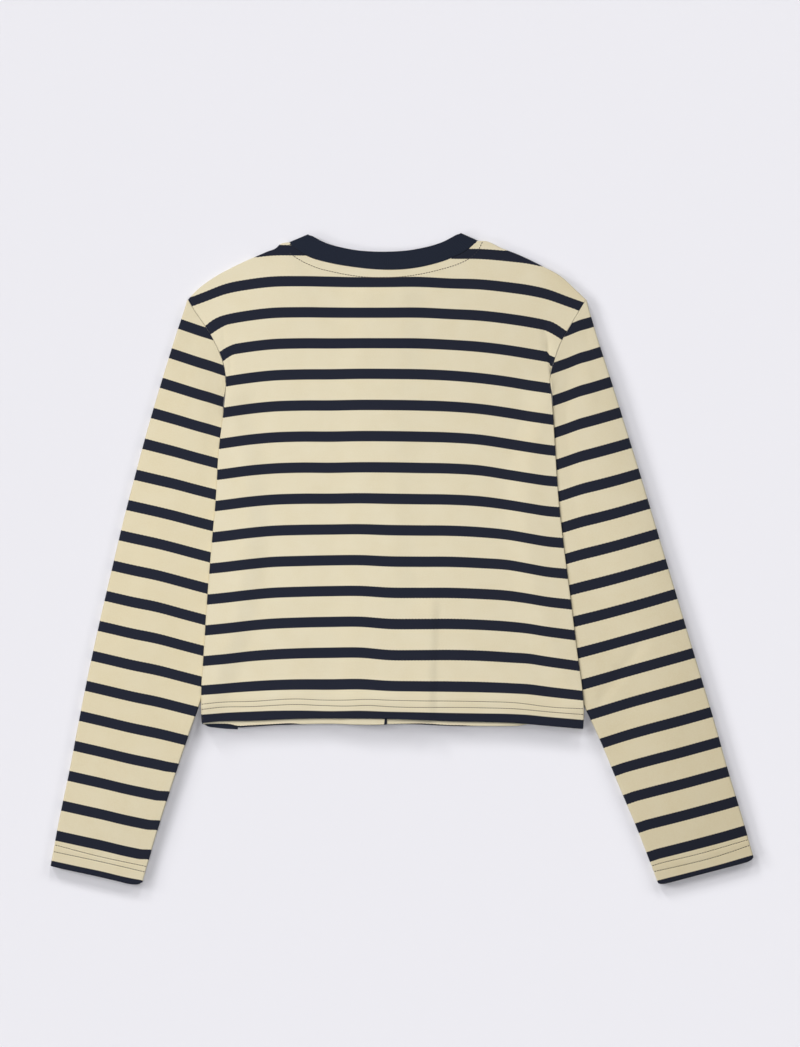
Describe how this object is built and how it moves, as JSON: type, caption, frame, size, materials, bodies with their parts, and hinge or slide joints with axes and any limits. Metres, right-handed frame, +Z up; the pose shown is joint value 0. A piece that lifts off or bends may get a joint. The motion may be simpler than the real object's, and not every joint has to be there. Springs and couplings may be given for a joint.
{
  "type": "striped jersey cardigan",
  "caption": "Cropped long-sleeved striped jersey cardigan with a ribbed crew neckband and a buttoned front, laid flat face down with its sleeves beside the body.",
  "frame": {"origin": "middle of the laid-out garment's outline, on the surface it lies on", "axes": "+Z up off the surface, out of the garment's back; +Y from the hem towards the neck; +X across, from the wearer's left sleeve to the right one"},
  "size_m": [0.703, 0.6502, 0.0085],
  "materials": {
    "striped_jersey": "cream cotton jersey with navy knitted-in stripes, matt",
    "navy_rib": "navy cotton rib, matt",
    "button": "navy moulded resin, softly polished"
  },
  "bodies": {
    "root": {"back": "striped_jersey", "front_left": "striped_jersey", "front_right": "striped_jersey", "sleeve_left": "striped_jersey", "sleeve_right": "striped_jersey", "neckband": "navy_rib", "button_1": "button", "button_2": "button", "button_3": "button", "button_4": "button", "button_5": "button", "button_6": "button"}
  },
  "joints": []
}
